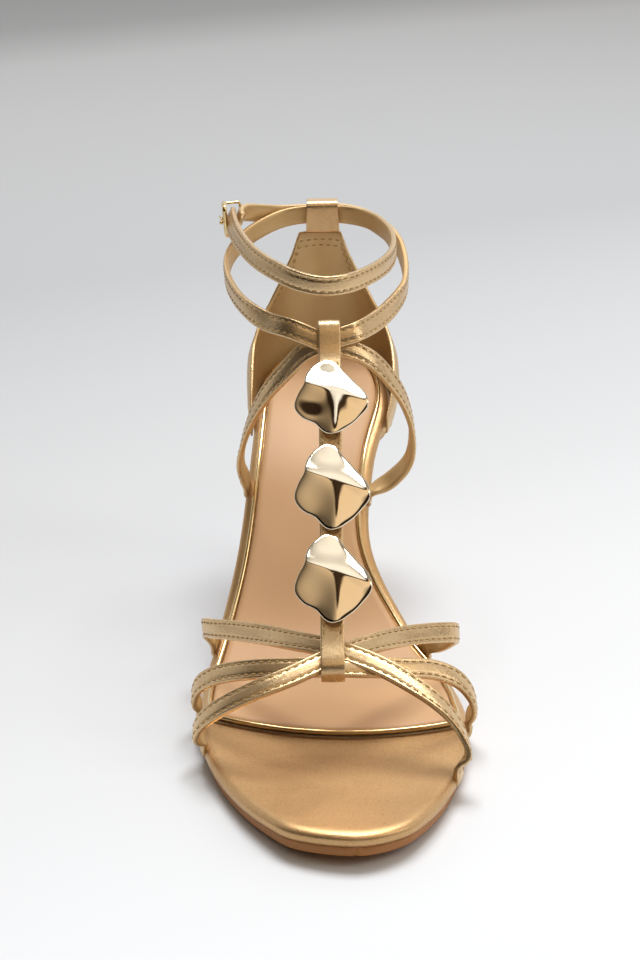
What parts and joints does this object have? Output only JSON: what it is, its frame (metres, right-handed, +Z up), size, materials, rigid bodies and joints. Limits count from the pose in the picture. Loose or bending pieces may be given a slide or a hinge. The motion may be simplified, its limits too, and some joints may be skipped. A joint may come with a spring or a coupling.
{
  "type": "high-heeled gladiator sandal",
  "caption": "Open gladiator sandal with a high heel: crossed toe and ankle straps, a T-strap with polished wavy ornaments, a heel counter and an ankle buckle.",
  "frame": {"origin": "centre of the flat tread under the ball of the foot, on the floor", "axes": "+Z up, +Y from toe to heel, +X to the inner (medial) side of the foot"},
  "size_m": [0.0859, 0.2326, 0.1363],
  "materials": {
    "gold_leather": "metallic foil on grained leather",
    "lining_leather": "satin tan-gold lining",
    "sock_leather": "smooth matt",
    "piping": "glossy foil",
    "sole_rubber": "matt",
    "top_piece_rubber": "matt",
    "ornament_metal": "mirror polished, pale gold plated",
    "buckle_metal": "polished, gold plated"
  },
  "bodies": {
    "root": {"outsole": "sole_rubber", "insole_board": "gold_leather", "sock": "sock_leather", "sock_piping": "piping", "heel": "gold_leather", "heel_top_piece": "top_piece_rubber", "heel_counter": "lining_leather", "heel_loop": "gold_leather", "toe_straps": "gold_leather", "t_strap": "gold_leather", "ankle_straps": "gold_leather", "ornament_1": "ornament_metal", "ornament_2": "ornament_metal", "ornament_3": "ornament_metal", "buckle_frame": "buckle_metal", "buckle_prong": "buckle_metal", "strap_keeper": "buckle_metal"}
  },
  "joints": []
}
